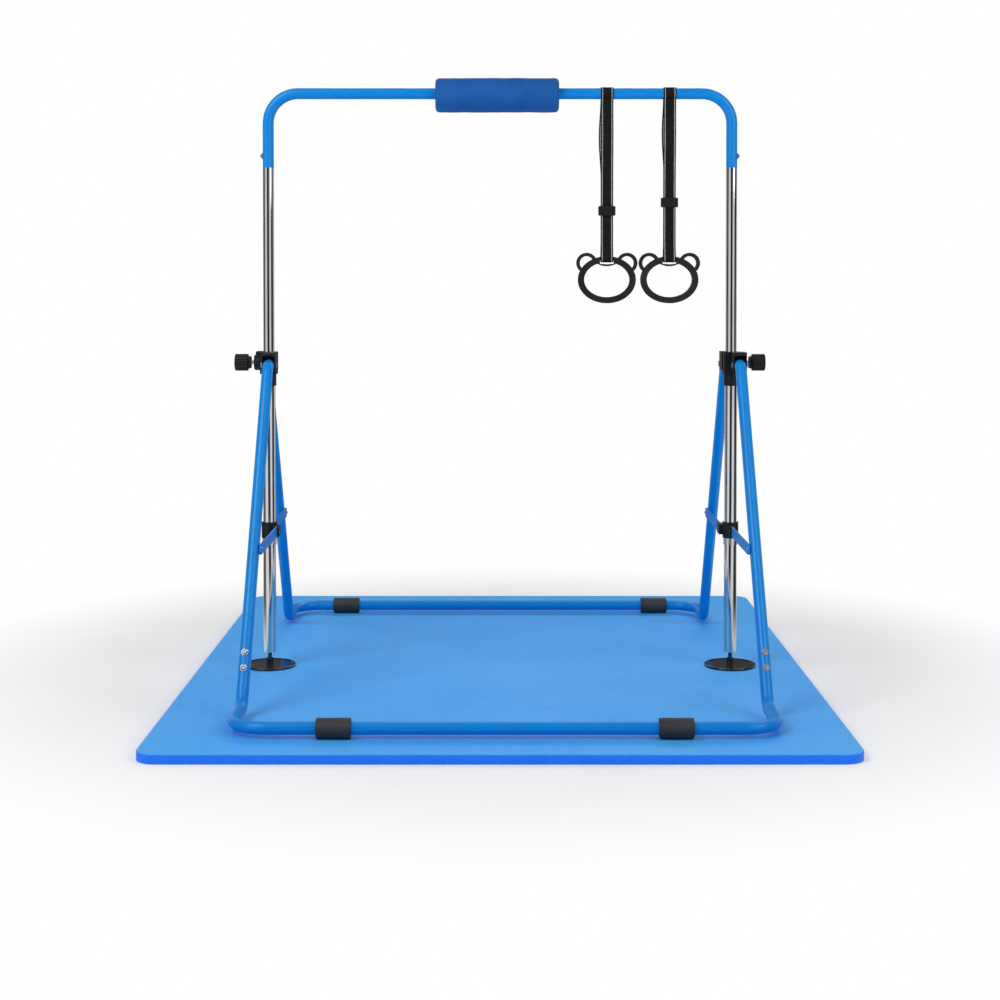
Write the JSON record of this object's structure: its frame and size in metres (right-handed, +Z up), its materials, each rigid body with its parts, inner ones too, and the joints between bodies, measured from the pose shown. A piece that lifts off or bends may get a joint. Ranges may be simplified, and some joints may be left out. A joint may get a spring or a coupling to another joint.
{
  "type": "folding kip bar",
  "caption": "Folding height-adjustable gymnastics kip bar with telescopic posts, A-shaped folding side legs, a padded bar, hanging hand rings and a floor mat.",
  "frame": {"origin": "centre of the mat's underside", "axes": "+X along the bar, +Y to the rear, +Z up"},
  "size_m": [1.524, 1.829, 1.5129],
  "materials": {
    "mat_foam": "matte, fine texture",
    "chrome": "polished",
    "blue_paint": "gloss",
    "black_plastic": "satin",
    "gloss_black": "gloss",
    "ring_plastic": "satin",
    "rubber": "matte",
    "steel": "bright zinc",
    "dark_steel": "black",
    "pad_foam": "matte foam skin",
    "webbing": "woven"
  },
  "bodies": {
    "mat": {"mat": "mat_foam"},
    "uprights": {"left_lower_post": "chrome", "left_head": "black_plastic", "left_post_liner": "black_plastic", "left_stop_ring": "steel", "left_post_plug": "black_plastic", "right_lower_post": "chrome", "right_head": "black_plastic", "right_post_liner": "black_plastic", "right_stop_ring": "steel", "right_post_plug": "black_plastic", "leg_pivot_bolts": "steel", "lock_springs": "steel"},
    "bar": {"bar_tube": "blue_paint", "left_upper_post": "chrome", "right_upper_post": "chrome", "bar_bolts": "steel", "bar_washers": "steel", "bar_pad": "pad_foam"},
    "front_frame": {"front_left_leg": "blue_paint", "front_right_leg": "blue_paint", "front_base_tube": "blue_paint", "front_leg_bolts": "steel", "front_leg_washers": "steel", "front_left_sleeve": "rubber", "front_right_sleeve": "rubber"},
    "rear_frame": {"rear_left_leg": "blue_paint", "rear_right_leg": "blue_paint", "rear_base_tube": "blue_paint", "rear_leg_bolts": "steel", "rear_leg_washers": "steel", "rear_left_sleeve": "rubber", "rear_right_sleeve": "rubber"},
    "left_slider": {"left_collar": "black_plastic", "left_collar_pins": "steel"},
    "right_slider": {"right_collar": "black_plastic", "right_collar_pins": "steel"},
    "front_left_strut": {"front_left_strut": "blue_paint", "front_left_rivet": "steel"},
    "front_right_strut": {"front_right_strut": "blue_paint", "front_right_rivet": "steel"},
    "rear_left_strut": {"rear_left_strut": "blue_paint", "rear_left_rivet": "steel"},
    "rear_right_strut": {"rear_right_strut": "blue_paint", "rear_right_rivet": "steel"},
    "left_knob": {"left_knob": "black_plastic", "left_lock_pin": "steel"},
    "left_foot": {"left_foot_disc": "gloss_black", "left_foot_stud": "dark_steel"},
    "right_knob": {"right_knob": "black_plastic", "right_lock_pin": "steel"},
    "right_foot": {"right_foot_disc": "gloss_black", "right_foot_stud": "dark_steel"},
    "strap_1": {"strap_1_webbing": "webbing"},
    "buckle_1": {"strap_1_buckle": "black_plastic"},
    "ring_1": {"hand_ring_1": "ring_plastic"},
    "strap_2": {"strap_2_webbing": "webbing"},
    "buckle_2": {"strap_2_buckle": "black_plastic"},
    "ring_2": {"hand_ring_2": "ring_plastic"}
  },
  "joints": [
    {"name": "frame_lift", "type": "slide", "parent": "mat", "child": "uprights", "axis": [0, 0, 1], "range_m": [0, 0.365]},
    {"name": "front_fold", "type": "hinge", "parent": "uprights", "child": "front_frame", "pos_m": [0, -0.122, 0.7894], "axis": [1, 0, 0], "range_deg": [0, 30]},
    {"name": "rear_fold", "type": "hinge", "parent": "uprights", "child": "rear_frame", "pos_m": [0, -0.036, 0.7894], "axis": [1, 0, 0], "range_deg": [-30.1, 0]},
    {"name": "bar_height", "type": "slide", "parent": "uprights", "child": "bar", "axis": [0, 0, 1], "range_m": [-0.45, 0]},
    {"name": "left_collar_slide", "type": "slide", "parent": "uprights", "child": "left_slider", "axis": [0, 0, 1], "range_m": [0, 0.207]},
    {"name": "right_collar_slide", "type": "slide", "parent": "uprights", "child": "right_slider", "axis": [0, 0, 1], "range_m": [0, 0.207]},
    {"name": "front_left_strut_turn", "type": "hinge", "parent": "left_slider", "child": "front_left_strut", "pos_m": [-0.585, -0.114, 0.3694], "axis": [1, 0, 0], "range_deg": [0, 82]},
    {"name": "front_right_strut_turn", "type": "hinge", "parent": "right_slider", "child": "front_right_strut", "pos_m": [0.585, -0.114, 0.3694], "axis": [1, 0, 0], "range_deg": [0, 82]},
    {"name": "rear_left_strut_turn", "type": "hinge", "parent": "left_slider", "child": "rear_left_strut", "pos_m": [-0.585, -0.044, 0.3694], "axis": [1, 0, 0], "range_deg": [-82, 0]},
    {"name": "rear_right_strut_turn", "type": "hinge", "parent": "right_slider", "child": "rear_right_strut", "pos_m": [0.585, -0.044, 0.3694], "axis": [1, 0, 0], "range_deg": [-82, 0]},
    {"name": "left_knob_pull", "type": "slide", "parent": "uprights", "child": "left_knob", "axis": [-1, 0, 0], "range_m": [0, 0.012], "stiffness_N_per_m": 600, "springref_m": -0.01},
    {"name": "left_foot_screw", "type": "slide", "parent": "uprights", "child": "left_foot", "axis": [0, 0, 1], "range_m": [0, 0.015]},
    {"name": "right_knob_pull", "type": "slide", "parent": "uprights", "child": "right_knob", "axis": [1, 0, 0], "range_m": [0, 0.012], "stiffness_N_per_m": 600, "springref_m": -0.01},
    {"name": "right_foot_screw", "type": "slide", "parent": "uprights", "child": "right_foot", "axis": [0, 0, 1], "range_m": [0, 0.015]},
    {"name": "strap_1_swing", "type": "hinge", "parent": "bar", "child": "strap_1", "pos_m": [0.27, -0.079, 1.4724], "axis": [1, 0, 0], "range_deg": [-60, 60]},
    {"name": "buckle_1_slide", "type": "slide", "parent": "strap_1", "child": "buckle_1", "axis": [0, 0, 1], "range_m": [-0.04, 0.06]},
    {"name": "ring_1_swing", "type": "hinge", "parent": "strap_1", "child": "ring_1", "pos_m": [0.27, -0.079, 1.0574], "axis": [1, 0, 0], "range_deg": [-60, 60]},
    {"name": "strap_2_swing", "type": "hinge", "parent": "bar", "child": "strap_2", "pos_m": [0.428, -0.079, 1.4724], "axis": [1, 0, 0], "range_deg": [-60, 60]},
    {"name": "buckle_2_slide", "type": "slide", "parent": "strap_2", "child": "buckle_2", "axis": [0, 0, 1], "range_m": [-0.04, 0.06]},
    {"name": "ring_2_swing", "type": "hinge", "parent": "strap_2", "child": "ring_2", "pos_m": [0.428, -0.079, 1.0574], "axis": [1, 0, 0], "range_deg": [-60, 60]}
  ],
  "couplings": [
    {"joint": "frame_lift", "follows": "front_fold", "m_per_rad": 0.69},
    {"joint": "rear_fold", "follows": "front_fold", "ratio": -1},
    {"joint": "left_collar_slide", "follows": "front_fold", "m_per_rad": 0.39003},
    {"joint": "right_collar_slide", "follows": "front_fold", "m_per_rad": 0.39003},
    {"joint": "front_left_strut_turn", "follows": "front_fold", "ratio": 2.6957},
    {"joint": "front_right_strut_turn", "follows": "front_fold", "ratio": 2.6957},
    {"joint": "rear_left_strut_turn", "follows": "front_fold", "ratio": -2.6957},
    {"joint": "rear_right_strut_turn", "follows": "front_fold", "ratio": -2.6957}
  ]
}
